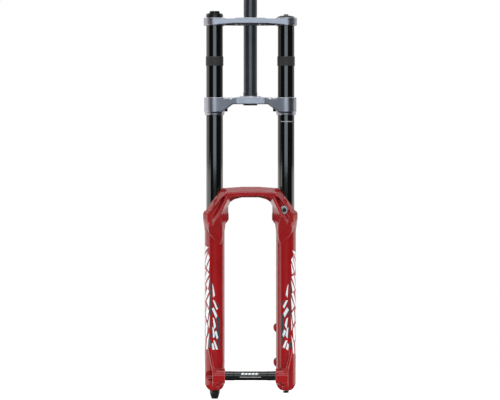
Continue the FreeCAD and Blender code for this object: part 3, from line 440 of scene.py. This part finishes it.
def recast(node, body, paint, grid, passes, share):
    """A soft-edged copy of a CAD node: cast or blasted metal has no knife edges.

    grid is the width of the copy's faces, passes how often it is smoothed, and share how many of
    its triangles stay.
    """
    shape = bmesh.new()
    shape.from_mesh(NODES[node].data)
    bmesh.ops.remove_doubles(shape, verts=shape.verts, dist=WELD)
    mesh = bpy.data.meshes.new(f"{node}_soft")
    shape.to_mesh(mesh)
    shape.free()
    piece = link(f"{node}_soft", mesh)
    remesh = piece.modifiers.new("grid", "REMESH")
    remesh.mode = "VOXEL"
    remesh.voxel_size = grid
    relax = piece.modifiers.new("relax", "SMOOTH")
    relax.factor = RELAX
    relax.iterations = passes
    if share < 1:
        thin = piece.modifiers.new("thin", "DECIMATE")
        thin.ratio = share
    apply_modifiers(piece)
    piece.data.materials.clear()
    piece.data.materials.append(paint)
    piece.data.shade_smooth()
    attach(piece, body)
    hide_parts(node)


def wrapped(name, panels, centre, radius, directions, body, paint, proud):
    """Flat panels of (across, along) corners in millimetres, bent round a cylinder as a thin film.

    directions are the cylinder's axis, the way that across 0 faces, and the way that across grows.
    The film stands proud of the cylinder.
    """
    axis, front, side = (Vector(direction) for direction in directions)
    shape = bmesh.new()
    for corners in panels:
        flat = [(across * MM, along * MM, 0) for across, along in corners]
        shape.faces.new([shape.verts.new(point) for point in flat])
    step = radius * FILM_STEP
    low = min(vert.co.x for vert in shape.verts)
    high = max(vert.co.x for vert in shape.verts)
    for index in range(1, int((high - low) / step) + 1):
        everything = shape.verts[:] + shape.edges[:] + shape.faces[:]
        cut = (low + index * step, 0, 0)
        bmesh.ops.bisect_plane(shape, geom=everything, plane_co=cut, plane_no=(1, 0, 0))
    lifted = bmesh.ops.extrude_face_region(shape, geom=shape.faces[:])["geom"]
    for item in lifted:
        if isinstance(item, bmesh.types.BMVert):
            item.co.z = 1
    for vert in shape.verts:
        reach = radius + proud if vert.co.z > 0.5 else radius - FILM_SUNK
        angle = vert.co.x / radius
        around = math.cos(angle) * front + math.sin(angle) * side
        vert.co = Vector(centre) + vert.co.y * axis + reach * around
    bmesh.ops.recalc_face_normals(shape, faces=shape.faces)
    mesh = bpy.data.meshes.new(name)
    shape.to_mesh(mesh)
    shape.free()
    mesh.materials.append(paint)
    piece = link(name, mesh)
    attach(piece, body)


def film(name, colour, second):
    """A printed vinyl film under the clear coat."""
    return finish(name, Finish(colour, second, 0.35, 0.04, "peel", 3.2, 0.010, coat=0.8))


# The graphics down each lower leg, in millimetres: across runs outwards round the leg from its
# front, and the second number is the height. They are abstract slivers and stand for no letter.
WHITE_SHARDS = (
    ((14, -322), (27, -318), (29, -334)),
    ((16, -330), (29, -340), (31, -362), (27, -352)),
    ((11, -343), (15, -335), (25, -356), (22, -364)),
    ((11, -350), (19, -366), (13, -373)),
    ((22, -370), (31, -368), (31, -388)),
    ((12, -379), (18, -372), (30, -394), (25, -398)),
    ((11, -386), (22, -401), (15, -410)),
    ((26, -404), (31, -398), (31, -424), (28, -420)),
    ((12, -415), (17, -409), (29, -432), (24, -436)),
    ((11, -422), (20, -437), (13, -450)),
    ((25, -442), (31, -438), (31, -462), (27, -466)),
    ((13, -456), (19, -445), (23, -466), (17, -478)),
    ((11, -463), (15, -484), (12, -494)),
    ((24, -474), (31, -470), (31, -492), (26, -500)),
    ((16, -488), (21, -479), (25, -506), (19, -512)),
    ((12, -503), (18, -516), (21, -539), (17, -539)),
    ((24, -512), (31, -500), (31, -530), (27, -539)),
)
PALE_SHARDS = (
    ((5, -398), (2.5, -404), (-1, -424), (3, -428)),
    ((4, -433), (0, -435), (-7, -452), (-4, -455)),
    ((6, -452), (2, -449), (-6, -467), (-3, -473)),
    ((4, -470), (0.5, -474), (-3, -490), (1, -496)),
    ((5, -490), (2, -493), (-1, -511), (3, -515)),
    ((0, -501), (-4, -499), (-8, -513), (-5, -517)),
    ((3, -519), (-0.5, -520), (-7.5, -539), (-3, -539)),
    ((6, -527), (3, -524), (-0.5, -539), (4.5, -539)),
)
SLATE_SHARDS = (
    ((9.8, -376), (9.8, -470), (4.8, -462), (6.8, -420)),
    ((-7.5, -440), (-4, -438), (-9, -451), (-12, -453)),
    ((-4.5, -466), (-12, -473), (-12, -539), (-9, -539), (-4.5, -505)),
    ((9, -472), (5.5, -478), (5, -503), (8.5, -500)),
    ((9, -507), (4, -505), (4, -511), (9, -513)),
    ((14, -517), (8, -519), (8, -539), (15, -539)),
)
UPPER_PROUD = 0.10 * MM
LOWER_PROUD = 0.05 * MM
SHEAR = {"damper_side": 0, "air_side": 0.55}
SHEAR_PIVOT = 2
UPRIGHT = (0, 0, 1)
FORWARD = (0, -1, 0)
LEFTWARD = (1, 0, 0)


def sheared(shards, shear):
    """The shards, each point lowered by its distance outwards from the pivot times shear."""
    return [
        [(across, along - shear * (across - SHEAR_PIVOT)) for across, along in corners]
        for corners in shards
    ]


def make_graphics():
    """Abstract shards down the lower legs, in white, pale grey and slate.

    The brake-side leg has the same shards, mirrored and sheared so that they end on a slant. The
    slate film lies under the other two.
    """
    white = film("film_white", (0.83, 0.83, 0.84), (0.78, 0.78, 0.80))
    pale = film("film_pale", (0.60, 0.68, 0.70), (0.55, 0.63, 0.66))
    slate = film("film_slate", (0.035, 0.055, 0.060), (0.03, 0.045, 0.05))
    films = (
        ("white", WHITE_SHARDS, white, UPPER_PROUD),
        ("pale", PALE_SHARDS, pale, UPPER_PROUD),
        ("slate", SLATE_SHARDS, slate, LOWER_PROUD),
    )
    for name, sign in SIGN.items():
        centre = (LEG[name].x, LEG[name].y, 0)
        directions = (UPRIGHT, FORWARD, (sign, 0, 0))
        for label, shards, paint, proud in films:
            wrapped(f"graphic_{label}_{name}", sheared(shards, SHEAR[name]), centre, LEG_RADIUS,
                    directions, "lowers", paint, proud)


MARK_PROUD = 0.04 * MM
DASH_STARTS = (-12, -7, -1.6, 2.6, 7, 12)
TICK_LEVELS = range(-145, -195, -9)
SLAB_STARTS = (-20, -12.6, -5.2, 2.2, 9.6)


def bar(left, right, top, bottom):
    return ((left, bottom), (right, bottom), (right, top), (left, top))


def slab(start):
    """A short slanted bar, seen from the front, that starts at one point along the axle."""
    return ((3.2, start), (3.2, start + 5.6), (7.2, start + 8), (7.2, start + 2.4))


def make_marks():
    """Plain generic marks: dashes and travel ticks on a stanchion, and bars on the axle."""
    grey = film("film_grey", (0.45, 0.46, 0.47), (0.40, 0.41, 0.42))
    air = LEG["air_side"]
    dashes = [bar(left, left + 3.4, -53.6, -55.2) for left in DASH_STARTS]
    ticks = [bar(-23.5, -20.2, level, level - 0.9) for level in TICK_LEVELS]
    wrapped("marks_stanchion", dashes + ticks, (air.x, air.y, 0), STANCHION_RADIUS,
            (UPRIGHT, FORWARD, LEFTWARD), "crowns", grey, MARK_PROUD)
    bright = film("film_bright", (0.72, 0.72, 0.73), (0.66, 0.66, 0.67))
    slabs = [slab(start) for start in SLAB_STARTS]
    line = ((-2.3, -22), (-2.3, 23), (-1.6, 23), (-1.6, -22))
    wrapped("marks_axle", [*slabs, line], AXLE, AXLE_RADIUS,
            (LEFTWARD, FORWARD, UPRIGHT), "axle", bright, MARK_PROUD)


make_camera()
make_room()
paints = make_finishes()
paint_nodes(paints)
recast("lower_leg_casting", "lowers", paints["red_casting"], grid=0.9 * MM, passes=5, share=0.27)
recast("lower_crown", "crowns", paints["anodised_crown"], grid=0.9 * MM, passes=3, share=1)
recast("upper_crown", "crowns", paints["anodised_crown"], grid=0.9 * MM, passes=3, share=1)
make_graphics()
make_marks()
